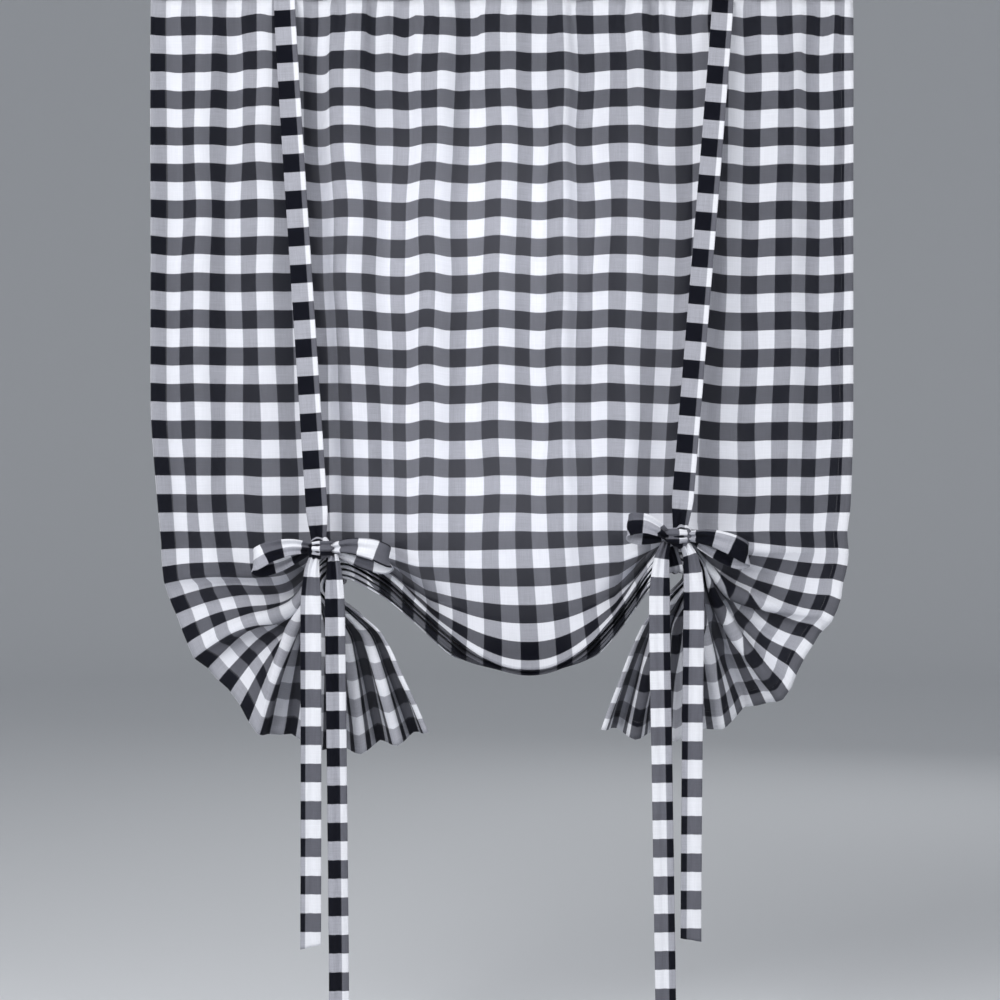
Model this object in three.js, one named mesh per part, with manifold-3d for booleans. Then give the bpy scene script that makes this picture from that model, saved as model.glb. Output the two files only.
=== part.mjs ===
// A tie-up window valance of gingham cloth: a gathered rod pocket, one hanging panel whose lower part is
// caught up into a centre swag and two side fans, and four tie strips knotted in two bows.
// Millimetres, +Z up, front towards -Y, origin at the middle of the top edge of the pocket.
import * as THREE from 'three';
import { mergeVertices } from 'three/addons/utils/BufferGeometryUtils.js';
import Module from 'manifold-3d';

const wasm = await Module();
wasm.setup();

// ---- driving sizes ----
const CLOTH = 1; // thickness of the panel's cloth
const FLAT_WIDTH = 1090; // panel before it was gathered
const POCKET_HEIGHT = 45; // rod pocket, top edge to seam
const SEAT_GAP = 0.35; // clearance between sewn pieces
const LAYER_PITCH = 3.5; // one layer of the caught-up bundle to the next
const ARCH_RADIUS = 12; // innermost layer where the bundle hangs over its tie
const SWAG_FOLD = 3; // the third fold edge is the front edge of the swag
const FRONT_EDGE_V = 853; // flat distance from the pocket seam to that edge
const SWAG_SKEW = 1.233; // above 1 moves the lowest point of the swag to the right
const SWAG_POINTEDNESS = 1.3;
const SWAG_SHOULDER = 0.016; // share of the span that stays level beside each tie
const BUNDLE_TURN = 78; // degrees by which the bundle lies back behind the swag's middle
const SOFT_TURN = 7; // largest radius at a fold's edge

// One row for each side: where the tie takes the cloth, and how the fan below it opens.
const SIDES = {
  left: { out: -1, tieU: 258, tieX: -209, knotX: -229, knotZ: -742, startV: 690, fanAngle: 121, spread: 37 },
  right: { out: 1, tieU: 838, tieX: 219, knotX: 223, knotZ: -727, startV: 676, fanAngle: 115, spread: 26 },
};

// One row for each fold of the caught-up cloth, top to hem, front and back edges in turn: the flat cloth
// from the edge above, and how far the edge reaches out of the fan, on each side.
const FOLD_ROWS = [
  { left: 38, right: 38, leftReach: 1, rightReach: 1 },
  { left: 64, right: 70, leftReach: 0.98, rightReach: 0.97 },
  { left: 61, right: 69, leftReach: 1, rightReach: 1.01 },
  { left: 72, right: 68, leftReach: 0.97, rightReach: 0.98 },
  { left: 71, right: 70, leftReach: 1.01, rightReach: 1 },
  { left: 67, right: 74, leftReach: 0.96, rightReach: 0.94 },
  { left: 68, right: 72, leftReach: 1.02, rightReach: 1 },
  { left: 73, right: 68, leftReach: 1, rightReach: 0.98 },
  { left: 72, right: 67, leftReach: 1.03, rightReach: 1.02 },
  { left: 69, right: 73, leftReach: 0.97, rightReach: 0.97 },
  { left: 70, right: 74, leftReach: 1.01, rightReach: 1.01 },
  { left: 72, right: 69, leftReach: 0.97, rightReach: 0.98 },
  { left: 68, right: 67, leftReach: 0.99, rightReach: 1 },
];

// How far the cloth has swung round the tie, as a share of the whole fan, against the flat length
// below the bundle's top.
const FAN_SWING = [
  { flat: 0, share: 0 },
  { flat: 150, share: 0.28 },
  { flat: 330, share: 0.62 },
  { flat: 470, share: 0.76 },
  { flat: 660, share: 0.88 },
  { flat: 880, share: 1 },
];

// Flat weft length that reaches out from the tie: gathered at the top of the fan, stretched at its foot.
const FAN_REACH = [
  { swing: 0, share: 0.87 },
  { swing: 45, share: 0.875 },
  { swing: 60, share: 0.9 },
  { swing: 74, share: 1 },
  { swing: 95, share: 0.98 },
  { swing: 122, share: 0.89 },
];

// The last pleats come out of the tie side by side, towards the swag: share of the side's spread against
// the length outside the tie.
const PLEAT_SPREAD = [
  { straight: 0, share: 0 },
  { straight: 32, share: 0.6 },
  { straight: 64, share: 1 },
  { straight: 230, share: 0.55 },
];
const SPREAD_FROM = 72; // degrees of swing

// Side edges of the hanging panel, from the middle, against the flat length below the seam.
const SIDE_EDGES = [
  { v: 0, left: -447, right: 447 },
  { v: 510, left: -447, right: 447 },
  { v: 640, left: -439, right: 444 },
  { v: 690, left: -434, right: 438 },
];

// Soft vertical flutes of the hanging panel: turning points across the flat width, front is negative.
const FLUTES = [
  { u: 0, y: -4 }, { u: 36, y: 8 }, { u: 82, y: -9 }, { u: 128, y: 6 }, { u: 190, y: -9 },
  { u: 236, y: 4 }, { u: 262, y: 13 }, { u: 306, y: -8 }, { u: 330, y: -5 }, { u: 388, y: 14 },
  { u: 448, y: -11 }, { u: 500, y: 6 }, { u: 552, y: -8 }, { u: 604, y: 5 }, { u: 640, y: -9 },
  { u: 680, y: 12 }, { u: 736, y: -10 }, { u: 780, y: 3 }, { u: 822, y: 12 }, { u: 872, y: -9 },
  { u: 920, y: 6 }, { u: 968, y: -9 }, { u: 1024, y: 12 }, { u: 1090, y: -5 },
];

// How strong the flutes are against the flat length below the seam.
const FLUTE_STRENGTH = [
  { v: 0, share: 0.35 }, { v: 90, share: 0.9 }, { v: 300, share: 1 },
  { v: 560, share: 0.75 }, { v: 700, share: 0.45 }, { v: 850, share: 0 },
];

// Ties: cut strips of the same cloth. A front and a back strip leave the seam on each side, and the back
// one passes under the bundle to the front, where the two are tied.
const TIE_CLOTH = 1.2; // thickness, seams turned in
const TIE_WIDTH = 27;
const THROAT_WIDTH = 13; // tie crushed together under the bundle
const KNOT = { y: -56, wide: 12, deep: 7, high: 12 }; // half sizes of the knot's core
const FRONT_HANG_Y = -44; // tie in front of the bundle
const BACK_HANG_Y = 46; // tie behind it
// Where each pair leaves the seam: across, and its middle in front of and behind the panel.
const TIE_TOPS = {
  left: { x: -277, frontY: -4.3, backY: 0.8 },
  right: { x: 281, frontY: -4.6, backY: 2.4 },
};

// Bow loops, seen from the front: reach from the knot, rise of the tip, and the loop's opening.
const LOOPS = {
  leftOuter: { reach: 84, rise: -12, open: 20 },
  leftInner: { reach: 84, rise: -10, open: 18 },
  rightOuter: { reach: 86, rise: -22, open: 18 },
  rightInner: { reach: 52, rise: 20, open: 20 },
};

// Hanging tails: where they hang, how far down they end, and the slant of the cut end.
const TAILS = {
  leftOuter: { topX: -243, endX: -245, endZ: -1240, width: 27, slant: 8 },
  leftInner: { topX: -214, endX: -207, endZ: -1352, width: 25, slant: 0 },
  rightOuter: { topX: 244, endX: 241, endZ: -1238, width: 28, slant: -5 },
  rightInner: { topX: 203, endX: 208, endZ: -1356, width: 27, slant: 0 },
};

// ---- small maths ----
const clamp = THREE.MathUtils.clamp;
const lerp = THREE.MathUtils.lerp;
const radians = THREE.MathUtils.degToRad;

// A smooth monotone curve through the rows of a table.
function through(rows, xKey, yKey) {
  const n = rows.length;
  const x = rows.map((row) => row[xKey]);
  const y = rows.map((row) => row[yKey]);
  const rise = x.slice(1).map((next, i) => (y[i + 1] - y[i]) / (next - x[i]));
  const slope = x.map((_, i) => {
    if (i === 0) return rise[0];
    if (i === n - 1) return rise[n - 2];
    return rise[i - 1] * rise[i] <= 0 ? 0 : (2 * rise[i - 1] * rise[i]) / (rise[i - 1] + rise[i]);
  });
  return (at) => {
    const p = clamp(at, x[0], x[n - 1]);
    let i = 0;
    while (i < n - 2 && p > x[i + 1]) i += 1;
    const step = x[i + 1] - x[i];
    const t = (p - x[i]) / step;
    const near = (1 + 2 * t) * (1 - t) * (1 - t) * y[i] + t * (1 - t) * (1 - t) * step * slope[i];
    const far = t * t * (3 - 2 * t) * y[i + 1] + t * t * (t - 1) * step * slope[i + 1];
    return near + far;
  };
}

const fanSwing = through(FAN_SWING, 'flat', 'share');
const fanReach = through(FAN_REACH, 'swing', 'share');
const pleatSpread = through(PLEAT_SPREAD, 'straight', 'share');
const leftEdge = through(SIDE_EDGES, 'v', 'left');
const rightEdge = through(SIDE_EDGES, 'v', 'right');
const flute = through(FLUTES, 'u', 'y');
const fluteStrength = through(FLUTE_STRENGTH, 'v', 'share');

// ---- the panel as a surface: flat cloth (u across, v down) to where it hangs ----
for (const [name, side] of Object.entries(SIDES)) {
  side.foldV = [side.startV];
  FOLD_ROWS.forEach((row) => side.foldV.push(side.foldV.at(-1) + row[name]));
  side.reach = [1, ...FOLD_ROWS.map((row) => row[`${name}Reach`])];
  side.bundleTop = -POCKET_HEIGHT - side.startV;
  side.stack = FOLD_ROWS.length * LAYER_PITCH;
  side.archZ = side.bundleTop - side.stack - ARCH_RADIUS;
}
const { left, right } = SIDES;
const FOLDS = FOLD_ROWS.length;

// Share of the hanging width reached at u: flutes take up some of the flat cloth.
const FLUTE_STEPS = 545;
const fluteReach = [0];
for (let i = 1; i <= FLUTE_STEPS; i += 1) {
  const step = FLAT_WIDTH / FLUTE_STEPS;
  const slope = (flute(i * step) - flute((i - 1) * step)) / step;
  fluteReach.push(fluteReach[i - 1] + Math.sqrt(Math.max(0.2, 1 - slope * slope)));
}
function reachAt(u) {
  const at = clamp((u / FLAT_WIDTH) * FLUTE_STEPS, 0, FLUTE_STEPS - 1e-6);
  const i = Math.floor(at);
  return lerp(fluteReach[i], fluteReach[i + 1], at - i) / fluteReach[FLUTE_STEPS];
}

// The hanging panel: even flutes at the seam, pulled towards the two ties lower down.
function hangingX(u, v) {
  const low = leftEdge(v);
  const high = rightEdge(v);
  const even = lerp(low, high, reachAt(u));
  const stops = [[0, low], [left.tieU, left.tieX], [right.tieU, right.tieX], [FLAT_WIDTH, high]];
  let i = 0;
  while (i < 2 && u > stops[i + 1][0]) i += 1;
  const share = (reachAt(u) - reachAt(stops[i][0])) / (reachAt(stops[i + 1][0]) - reachAt(stops[i][0]));
  const pulled = lerp(stops[i][1], stops[i + 1][1], share);
  return lerp(even, pulled, THREE.MathUtils.smoothstep(v, 0, left.startV));
}

// Layers passed on the way down the bundle, 0 at its top.
function layersAt(foldV, v) {
  let i = 0;
  while (i < FOLDS - 1 && v > foldV[i + 1]) i += 1;
  return i + (v - foldV[i]) / (foldV[i + 1] - foldV[i]);
}

// Weft threads outside a tie arch over it and then run straight out, swinging round like a fan.
function fanMiddle(side, u, v) {
  const length = Math.abs(u - side.tieU);
  const layers = layersAt(side.foldV, v);
  const swing = radians(side.fanAngle * fanSwing(v - side.startV));
  const radius = ARCH_RADIUS + side.stack - layers * LAYER_PITCH;
  const turned = Math.min(length / radius, swing);
  const above = Math.min(FOLDS - 1, Math.floor(layers));
  const uneven = lerp(side.reach[above], side.reach[above + 1], layers - above);
  const straight = (length - turned * radius) * fanReach(THREE.MathUtils.radToDeg(swing)) * uneven;
  const last = THREE.MathUtils.smoothstep(THREE.MathUtils.radToDeg(swing), SPREAD_FROM, side.fanAngle);
  const inward = side.spread * last * pleatSpread(straight);
  const outward = radius * Math.sin(turned) + straight * Math.cos(swing) - inward;
  const down = radius * (1 - Math.cos(turned)) + straight * Math.sin(swing);
  return new THREE.Vector3(side.tieX + side.out * outward, 0, side.bundleTop - layers * LAYER_PITCH - down);
}

// The swag's front edge below the top of the bundle, against the share of the way between the ties.
function swagCurve(s) {
  const skewed = clamp((s - SWAG_SHOULDER) / (1 - 2 * SWAG_SHOULDER), 0, 1) ** SWAG_SKEW;
  return (4 * skewed * (1 - skewed)) ** SWAG_POINTEDNESS;
}
const frontStack = SWAG_FOLD * LAYER_PITCH;
const swagFall = (s) => (FRONT_EDGE_V - lerp(left.startV, right.startV, s) - frontStack) * swagCurve(s);
const swagSpan = right.tieX - left.tieX;
const bundleLean = (s) => radians(BUNDLE_TURN) * THREE.MathUtils.smoothstep(swagCurve(s), 0.64, 1);

// Share of the span against share of the length along the front edge.
const EDGE_STEPS = 200;
const edgeLength = [0];
for (let i = 1; i <= EDGE_STEPS; i += 1) {
  const fall = swagFall(i / EDGE_STEPS) - swagFall((i - 1) / EDGE_STEPS);
  edgeLength.push(edgeLength[i - 1] + Math.hypot(swagSpan / EDGE_STEPS, fall));
}
function spanShare(t) {
  const wanted = t * edgeLength[EDGE_STEPS];
  let i = 0;
  while (i < EDGE_STEPS - 1 && wanted > edgeLength[i + 1]) i += 1;
  return (i + (wanted - edgeLength[i]) / (edgeLength[i + 1] - edgeLength[i])) / EDGE_STEPS;
}

// Between the ties the front face is drawn down to the swag's edge, and keeps its weft nearly level above it.
function swagMiddle(u, v, foldV) {
  const t = (u - left.tieU) / (right.tieU - left.tieU);
  const top = foldV[0];
  const edge = foldV[SWAG_FOLD];
  const g = clamp((v - top) / (edge - top), 0, 1);
  const hungX = hangingX(u, top);
  const s = lerp((hungX - left.tieX) / swagSpan, spanShare(t), g);
  const x = left.tieX + s * swagSpan;
  const bundleTop = lerp(left.bundleTop, right.bundleTop, s);
  const fullness = clamp(swagCurve(s), 1e-3, 1);
  const bend = Math.min(0.6, 0.8 * (1 / fullness - 1));
  const drop = swagFall(s) * (g + bend * (g - g * g));
  const layers = layersAt(foldV, v);
  const point = new THREE.Vector3(x, 0, bundleTop - Math.min(layers, SWAG_FOLD) * LAYER_PITCH - drop);
  return { point, lean: bundleLean(s), behind: Math.max(0, layers - SWAG_FOLD) * LAYER_PITCH, fullness };
}
// Cloth that is nearly full length takes up its little slack without folding.
function swagEase(fullness, fold) {
  return fold < SWAG_FOLD ? THREE.MathUtils.smoothstep(fullness, 0.35, 0.85) : 0;
}

// One layer of cloth between two fold edges: it leaves the edge in a round turn, runs straight, and turns
// again. Returns how steeply the straight stretch crosses the stack and how deep the fold is.
function foldShape(length, chord, ease) {
  const slack = clamp(chord / length, 0.02, 0.998);
  const share = slack + (1 - slack) * 0.97 * ease;
  const turn = Math.min(SOFT_TURN, 0.49 * share * length);
  let low = 0;
  let high = Math.PI / 2;
  for (let i = 0; i < 40; i += 1) {
    const angle = (low + high) / 2;
    const reach = (length - 2 * angle * turn) * Math.cos(angle) + 2 * turn * Math.sin(angle);
    if (reach > share * length) low = angle;
    else high = angle;
  }
  const angle = (low + high) / 2;
  const depth = (length - 2 * angle * turn) * Math.sin(angle) + 2 * turn * (1 - Math.cos(angle));
  return { share, turn, angle, depth, length };
}
function foldPoint(fold, s) {
  const arc = fold.angle * fold.turn;
  if (s <= arc) {
    return { along: fold.turn * Math.sin(s / fold.turn), deep: fold.turn * (1 - Math.cos(s / fold.turn)) };
  }
  if (s > fold.length - arc) {
    const mirrored = foldPoint(fold, fold.length - s);
    return { along: fold.share * fold.length - mirrored.along, deep: fold.depth - mirrored.deep };
  }
  return {
    along: fold.turn * Math.sin(fold.angle) + (s - arc) * Math.cos(fold.angle),
    deep: fold.turn * (1 - Math.cos(fold.angle)) + (s - arc) * Math.sin(fold.angle),
  };
}

// One thread of the panel from seam to hem, as a function of the flat length v.
function warpThread(u) {
  const t = clamp((u - left.tieU) / (right.tieU - left.tieU), 0, 1);
  const foldV = left.foldV.map((v, i) => lerp(v, right.foldV[i], t));
  const inSwag = u > left.tieU && u < right.tieU;
  const side = u <= left.tieU ? left : right;
  const middle = (v) => {
    if (inSwag) return swagMiddle(u, v, foldV);
    return { point: fanMiddle(side, u, v), lean: 0, behind: 0 };
  };
  const folds = [];
  let y = 0;
  for (let j = 0; j < FOLDS; j += 1) {
    const a = middle(foldV[j]);
    const b = middle(foldV[j + 1]);
    const chord = a.point.distanceTo(b.point) + (b.behind - a.behind);
    const length = foldV[j + 1] - foldV[j];
    const ease = inSwag ? swagEase(a.fullness, j) : THREE.MathUtils.smoothstep(chord / length, 0.5, 0.9);
    const fold = foldShape(length, chord, ease);
    const towards = j % 2 === 0 ? -1 : 1;
    folds.push({ ...fold, startV: foldV[j], startY: y, towards });
    y += towards * fold.depth;
  }
  const edgeY = folds[SWAG_FOLD].startY;
  return {
    folds,
    at(v) {
      const sway = flute(u) * fluteStrength(v);
      if (v <= foldV[0]) return new THREE.Vector3(hangingX(u, v), sway, -POCKET_HEIGHT - v);
      const fold = folds[Math.min(FOLDS - 1, Math.floor(layersAt(foldV, v)))];
      const { along, deep } = foldPoint(fold, v - fold.startV);
      const { point, lean, behind } = middle(fold.startV + along / fold.share);
      const deepY = fold.startY + fold.towards * deep;
      if (v < foldV[SWAG_FOLD] - 1) return new THREE.Vector3(point.x, deepY + sway, point.z);
      const back = deepY - edgeY;
      const under = behind + (LAYER_PITCH / 2) * Math.sin(lean);
      const backY = back * Math.cos(lean) + under * Math.sin(lean);
      const backZ = back * Math.sin(lean) - under * Math.cos(lean);
      return new THREE.Vector3(point.x, edgeY + sway + backY, point.z + (inSwag ? backZ : 0));
    },
  };
}

// ---- closed solids ----
function solidFrom(positions, faces) {
  const geometry = new THREE.BufferGeometry();
  const numbers = positions.flatMap((p) => [p.x, p.y, p.z]);
  geometry.setAttribute('position', new THREE.Float32BufferAttribute(numbers, 3));
  geometry.setIndex(faces.flat());
  return geometry;
}

const bisector = (before, here, after) => (
  here.clone().sub(before).normalize().add(after.clone().sub(here).normalize())
);

// A sheet with thickness over a grid of points, rows of equal length.
function sheetSolid(grid, thickness) {
  const rows = grid.length;
  const columns = grid[0].length;
  const outer = [];
  const inner = [];
  for (let i = 0; i < rows; i += 1) {
    for (let j = 0; j < columns; j += 1) {
      const down = bisector(grid[Math.max(i - 1, 0)][j], grid[i][j], grid[Math.min(i + 1, rows - 1)][j]);
      const across = bisector(grid[i][Math.max(j - 1, 0)], grid[i][j], grid[i][Math.min(j + 1, columns - 1)]);
      const normal = across.cross(down).normalize().multiplyScalar(thickness / 2);
      outer.push(grid[i][j].clone().add(normal));
      inner.push(grid[i][j].clone().sub(normal));
    }
  }
  const n = rows * columns;
  const faces = [];
  const quad = (a, b, c, d) => faces.push([a, b, c], [a, c, d]);
  for (let i = 0; i < rows - 1; i += 1) {
    for (let j = 0; j < columns - 1; j += 1) {
      const a = i * columns + j;
      const b = a + columns;
      const forward = grid[i][j].distanceTo(grid[i + 1][j + 1]) < grid[i][j + 1].distanceTo(grid[i + 1][j]);
      const [p, q, r, t] = forward ? [a, a + 1, b + 1, b] : [a + 1, b + 1, b, a];
      quad(p, q, r, t);
      quad(n + p, n + t, n + r, n + q);
    }
  }
  for (let i = 0; i < rows - 1; i += 1) {
    const a = i * columns;
    const b = a + columns - 1;
    quad(a, a + columns, n + a + columns, n + a);
    quad(n + b, n + b + columns, b + columns, b);
  }
  for (let j = 0; j < columns - 1; j += 1) {
    const a = j;
    const b = (rows - 1) * columns + j;
    quad(a + 1, a, n + a, n + a + 1);
    quad(b, b + 1, n + b + 1, n + b);
  }
  return solidFrom([...outer, ...inner], faces);
}

// ---- pieces ----
const colours = { cloth: 0x8f9098, ties: 0x77787f };
function makeMesh(name, geometry, colour) {
  const material = new THREE.MeshStandardMaterial({ color: colour, roughness: 0.9, metalness: 0 });
  const mesh = new THREE.Mesh(geometry, material);
  mesh.name = name;
  return mesh;
}

// Columns crowd towards the ties, where the cloth is drawn together.
const SIDE_COLUMNS = 12;
const SWAG_COLUMNS = 24;
function panelColumns() {
  const columns = [];
  const outwards = (i) => (i / SIDE_COLUMNS) ** 1.4;
  for (let i = SIDE_COLUMNS; i > 0; i -= 1) columns.push(left.tieU * (1 - outwards(i)));
  for (let i = 0; i <= SWAG_COLUMNS; i += 1) {
    const t = (2 * i) / SWAG_COLUMNS - 1;
    const fromMiddle = Math.sign(t) * (1 - (1 - Math.abs(t)) ** 1.3);
    columns.push(lerp(left.tieU, right.tieU, 0.5 + fromMiddle / 2));
  }
  for (let i = 1; i <= SIDE_COLUMNS; i += 1) columns.push(lerp(right.tieU, FLAT_WIDTH, outwards(i)));
  return columns;
}

// Rows of the solid down the cloth: shares of the hanging part, then three for each fold.
const SHORTEST_ROW = 2.5;
const HANGING_ROWS = [0, 0.03, 0.08, 0.17, 0.34, 0.52, 0.7, 0.84, 0.93, 0.98];
function panelGeometry() {
  const threads = panelColumns().map(warpThread);
  const grid = [...HANGING_ROWS, 1].map((share) => (
    threads.map((thread) => thread.at(share * thread.folds[0].startV))
  ));
  for (let j = 0; j < FOLDS; j += 1) {
    const points = threads.map((thread) => {
      const fold = thread.folds[j];
      const arc = Math.max(SHORTEST_ROW, fold.angle * fold.turn);
      return [arc, fold.length - arc, fold.length].map((s) => thread.at(fold.startV + s - 1e-6));
    });
    [0, 1, 2].forEach((k) => grid.push(points.map((column) => column[k])));
  }
  return sheetSolid(grid, CLOTH);
}

// A flat strip through rows of { at, wide, across }: centre line, width there, and the width's direction.
function ribbonGeometry(rows, thickness, stepsPerRow) {
  const centres = rows.map((row) => new THREE.Vector3(...row.at));
  const line = new THREE.CatmullRomCurve3(centres, false, 'centripetal');
  const steps = (rows.length - 1) * stepsPerRow;
  const positions = [];
  for (let i = 0; i <= steps; i += 1) {
    const along = (i / steps) * (rows.length - 1);
    const k = Math.min(rows.length - 2, Math.floor(along));
    const t = along - k;
    const centre = line.getPoint(i / steps);
    const ahead = line.getTangent(i / steps);
    const across = new THREE.Vector3(...rows[k].across).lerp(new THREE.Vector3(...rows[k + 1].across), t);
    const normal = across.clone().cross(ahead).normalize();
    const half = lerp(rows[k].wide, rows[k + 1].wide, t) / 2;
    const side = across.clone().normalize().multiplyScalar(half);
    const rise = normal.multiplyScalar(thickness / 2);
    const skew = lerp(rows[k].skew ?? 0, rows[k + 1].skew ?? 0, t);
    for (const [a, b] of [[-1, -1], [1, -1], [1, 1], [-1, 1]]) {
      const corner = centre.clone().addScaledVector(side, a).addScaledVector(rise, b);
      positions.push(corner.addScaledVector(ahead, a * skew));
    }
  }
  const faces = [];
  for (let i = 0; i < steps; i += 1) {
    for (let c = 0; c < 4; c += 1) {
      const a = 4 * i + c;
      const b = 4 * i + ((c + 1) % 4);
      faces.push([a, b + 4, b], [a, a + 4, b + 4]);
    }
  }
  const end = 4 * steps;
  faces.push([0, 1, 2], [0, 2, 3], [end, end + 2, end + 1], [end, end + 3, end + 2]);
  return solidFrom(positions, faces);
}

// Joining solids that belong to one strip.
function toManifold(geometry) {
  const bare = new THREE.BufferGeometry();
  bare.setAttribute('position', geometry.getAttribute('position'));
  if (geometry.index) bare.setIndex(geometry.index);
  const merged = mergeVertices(bare, 1e-4);
  return new wasm.Manifold(new wasm.Mesh({
    numProp: 3,
    vertProperties: new Float32Array(merged.getAttribute('position').array),
    triVerts: new Uint32Array(merged.index.array),
  }));
}
function joined(geometries) {
  const solid = geometries.map(toManifold).reduce((sum, next) => sum.add(next));
  const { vertProperties, triVerts } = solid.getMesh();
  const geometry = new THREE.BufferGeometry();
  geometry.setAttribute('position', new THREE.BufferAttribute(new Float32Array(vertProperties), 3));
  geometry.setIndex(new THREE.BufferAttribute(new Uint32Array(triVerts), 1));
  return geometry;
}

const LEVEL = [1, 0, 0];
const UPRIGHT = [0, 0, 1];

// The strip from the seam down to the bow: it leaves the seam quickly and is then pulled nearly straight.
const LEAVING_SHARE = 0.35;
function hangingRun(startX, startY, endX, endY, endZ) {
  const startZ = -POCKET_HEIGHT - SEAT_GAP;
  const rows = [0, 0.05, 0.3, 0.6, 0.85, 1].map((t) => {
    const leaving = Math.sqrt(Math.min(1, t * 4)) * LEAVING_SHARE;
    const y = lerp(startY, endY, leaving + t * (1 - LEAVING_SHARE));
    return { at: [lerp(startX, endX, t), y, lerp(startZ, endZ, t)], wide: TIE_WIDTH, across: LEVEL };
  });
  rows.at(-1).wide = 18;
  return ribbonGeometry(rows, TIE_CLOTH, 2);
}

// A bow loop: out from the knot along the front, round, and back behind, seen as a flat teardrop.
function bowLoop(knotX, knotZ, towards, loop) {
  const x = (share) => knotX + towards * (KNOT.wide - 4 + loop.reach * share);
  const z = (share) => knotZ + loop.rise * share;
  const lift = loop.open / 2;
  const rows = [
    { at: [x(0), KNOT.y - 2, z(0)], wide: 12, across: UPRIGHT },
    { at: [x(0.28), KNOT.y - 9, z(0.28) + lift * 0.5], wide: 19, across: UPRIGHT },
    { at: [x(0.62), KNOT.y - 13, z(0.62) + lift * 0.5], wide: 25, across: UPRIGHT },
    { at: [x(0.86), KNOT.y - 9, z(0.86)], wide: TIE_WIDTH, across: UPRIGHT },
    { at: [x(0.93), KNOT.y - 2, z(0.9) - lift * 0.4], wide: TIE_WIDTH, across: UPRIGHT },
    { at: [x(0.84), KNOT.y + 4, z(0.84) - lift], wide: TIE_WIDTH, across: UPRIGHT },
    { at: [x(0.6), KNOT.y + 5.5, z(0.6) - lift], wide: 24, across: UPRIGHT },
    { at: [x(0.26), KNOT.y + 4, z(0.26) - lift * 0.5], wide: 17, across: UPRIGHT },
    { at: [x(0), KNOT.y + 2, z(0)], wide: 10, across: UPRIGHT },
  ];
  return ribbonGeometry(rows, TIE_CLOTH, 2);
}

// A tail: narrow under the knot, then as wide as the strip, hanging in front of the fan to a slanted end.
function tail(knotZ, startX, { topX, endX, endZ, width, slant }) {
  const startZ = knotZ - KNOT.high + 5;
  const hangY = FRONT_HANG_Y - 4;
  const x = (share) => lerp(topX, endX, share);
  const z = (share) => lerp(startZ, endZ, share);
  const rows = [
    { at: [startX, KNOT.y, startZ], wide: 11, across: LEVEL },
    { at: [lerp(startX, topX, 0.7), KNOT.y - 3, startZ - 22], wide: 19, across: LEVEL },
    { at: [topX, KNOT.y, startZ - 70], wide: width, across: LEVEL },
    { at: [x(0.4), hangY, z(0.45)], wide: width, across: LEVEL },
    { at: [x(0.8), hangY + 3, z(0.8)], wide: width, across: LEVEL },
    { at: [endX, hangY + 2, endZ], wide: width, across: LEVEL, skew: slant },
  ];
  return ribbonGeometry(rows, TIE_CLOTH, 3);
}

// Front strip: seam to knot core, the outer loop and the outer tail.
function frontTie(name) {
  const side = SIDES[name];
  const core = new THREE.SphereGeometry(1, 14, 10);
  core.scale(KNOT.wide, KNOT.deep, KNOT.high);
  core.translate(side.knotX, KNOT.y, side.knotZ);
  return joined([
    core,
    hangingRun(TIE_TOPS[name].x, TIE_TOPS[name].frontY, side.knotX, KNOT.y, side.knotZ + KNOT.high - 4),
    bowLoop(side.knotX, side.knotZ, side.out, LOOPS[`${name}Outer`]),
    tail(side.knotZ, side.knotX + side.out * 5, TAILS[`${name}Outer`]),
  ]);
}

// Back strip: seam, down behind the panel, under the bundle, up to the knot and over its front, then the
// inner loop and the inner tail.
function backTie(name) {
  const side = SIDES[name];
  const throatZ = side.archZ + 5;
  const inward = -side.out;
  const coverX = side.knotX + inward * (KNOT.wide + 2);
  const risingX = lerp(side.tieX, coverX, 0.6);
  const risingZ = lerp(throatZ, side.knotZ, 0.6);
  const under = ribbonGeometry([
    { at: [side.tieX, BACK_HANG_Y, throatZ + 14], wide: 18, across: LEVEL },
    { at: [side.tieX, BACK_HANG_Y - 2, throatZ + 3], wide: THROAT_WIDTH, across: LEVEL },
    { at: [side.tieX, BACK_HANG_Y - 12, throatZ], wide: THROAT_WIDTH, across: LEVEL },
    { at: [side.tieX, 0, throatZ - 1], wide: THROAT_WIDTH, across: LEVEL },
    { at: [side.tieX, FRONT_HANG_Y + 12, throatZ], wide: THROAT_WIDTH, across: LEVEL },
    { at: [side.tieX, FRONT_HANG_Y + 1, throatZ + 4], wide: THROAT_WIDTH, across: LEVEL },
    { at: [risingX, FRONT_HANG_Y, risingZ], wide: THROAT_WIDTH, across: LEVEL },
    { at: [coverX, FRONT_HANG_Y - 3, side.knotZ - 2], wide: 10, across: LEVEL },
  ], TIE_CLOTH, 2);
  const cover = ribbonGeometry([
    { at: [coverX, FRONT_HANG_Y - 2, side.knotZ], wide: 15, across: UPRIGHT },
    { at: [coverX + inward * 2, KNOT.y, side.knotZ], wide: 17, across: UPRIGHT },
    { at: [coverX, KNOT.y - KNOT.deep, side.knotZ], wide: 18, across: UPRIGHT },
    { at: [side.knotX + inward * 4, KNOT.y - KNOT.deep - 1.7, side.knotZ], wide: 18, across: UPRIGHT },
    { at: [side.knotX - inward * 8, KNOT.y - KNOT.deep - 0.2, side.knotZ], wide: 15, across: UPRIGHT },
  ], TIE_CLOTH + 0.6, 2);
  return joined([
    hangingRun(TIE_TOPS[name].x, TIE_TOPS[name].backY, side.tieX, BACK_HANG_Y, throatZ + 8),
    under,
    cover,
    bowLoop(side.knotX + inward * 7, side.knotZ, inward, LOOPS[`${name}Inner`]),
    tail(side.knotZ, side.knotX + inward * (KNOT.wide + 5), TAILS[`${name}Inner`]),
  ]);
}

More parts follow.
